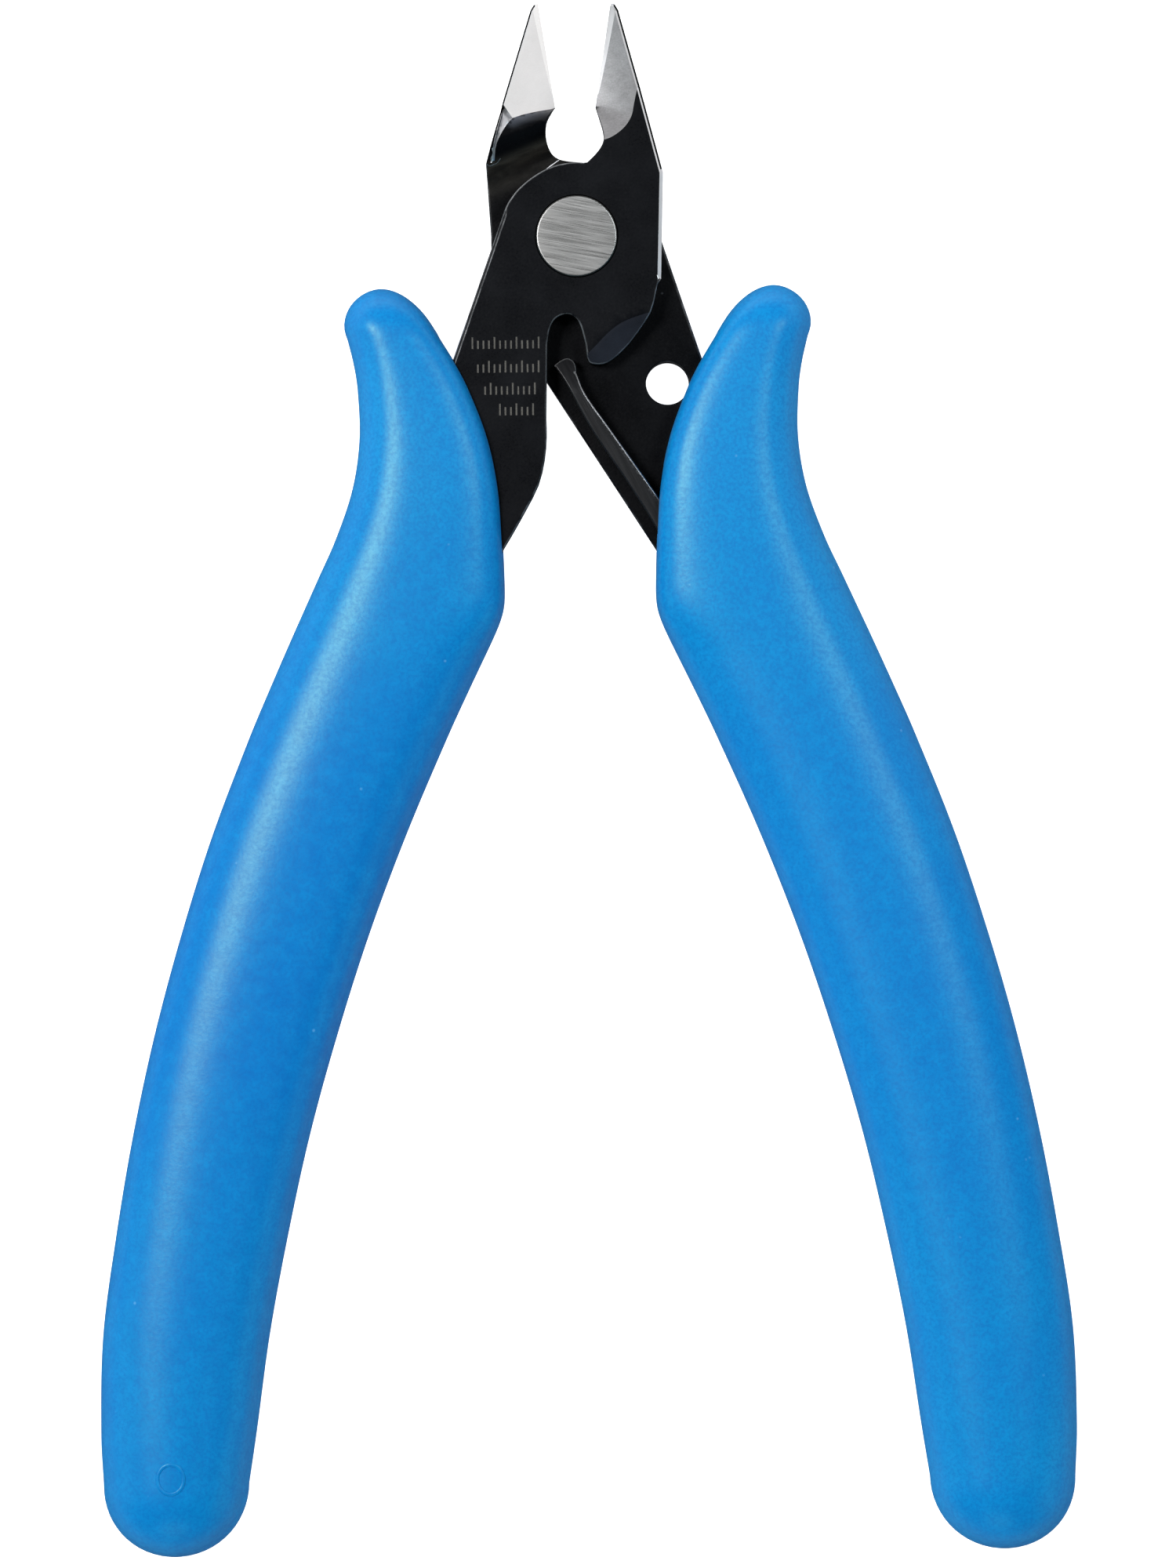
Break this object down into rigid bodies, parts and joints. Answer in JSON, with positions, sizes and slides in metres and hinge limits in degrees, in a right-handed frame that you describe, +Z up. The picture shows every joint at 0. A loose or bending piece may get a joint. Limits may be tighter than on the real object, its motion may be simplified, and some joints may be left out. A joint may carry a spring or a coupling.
{
  "type": "sprue nippers",
  "caption": "Slim flush-cutting nippers: lapped black steel halves on a riveted pivot, bright ground edges, a bent-wire return spring and curved blue PVC grips.",
  "frame": {"origin": "middle of the footprint of the whole tool, on the surface its grips rest on, with the handles open", "axes": "+X across the handles to the right, +Y along the tool towards the cutting tips, +Z up out of the front face"},
  "size_m": [0.0782, 0.1241, 0.0096],
  "materials": {
    "black_steel": "satin black oxide on stamped steel, ground bright at the cutting bevels",
    "bare_steel": "ground flat with fine straight brushing",
    "spring_steel": "dark tempered spring wire, worn brighter along its edge",
    "blue_pvc": "satin moulded PVC with a fine mottled grain"
  },
  "bodies": {
    "rear_half": {"rear_plate": "black_steel", "right_grip": "blue_pvc", "pivot_rivet": "bare_steel"},
    "front_half": {"front_plate": "black_steel", "left_grip": "blue_pvc"},
    "spring": {"return_spring": "spring_steel"}
  },
  "joints": [
    {"name": "handle_pivot", "type": "hinge", "parent": "rear_half", "child": "front_half", "pos_m": [0, 0.04322, 0.0048], "axis": [0, 0, 1], "range_deg": [0, 17.3], "stiffness_Nm_per_rad": 1.16, "springref_deg": -7.45},
    {"name": "spring_flex", "type": "hinge", "parent": "rear_half", "child": "spring", "pos_m": [0.0099, 0.01322, 0.0048], "axis": [0, 0, 1], "range_deg": [-8.31, 0]}
  ],
  "couplings": [
    {"joint": "spring_flex", "follows": "handle_pivot", "ratio": -0.48}
  ]
}
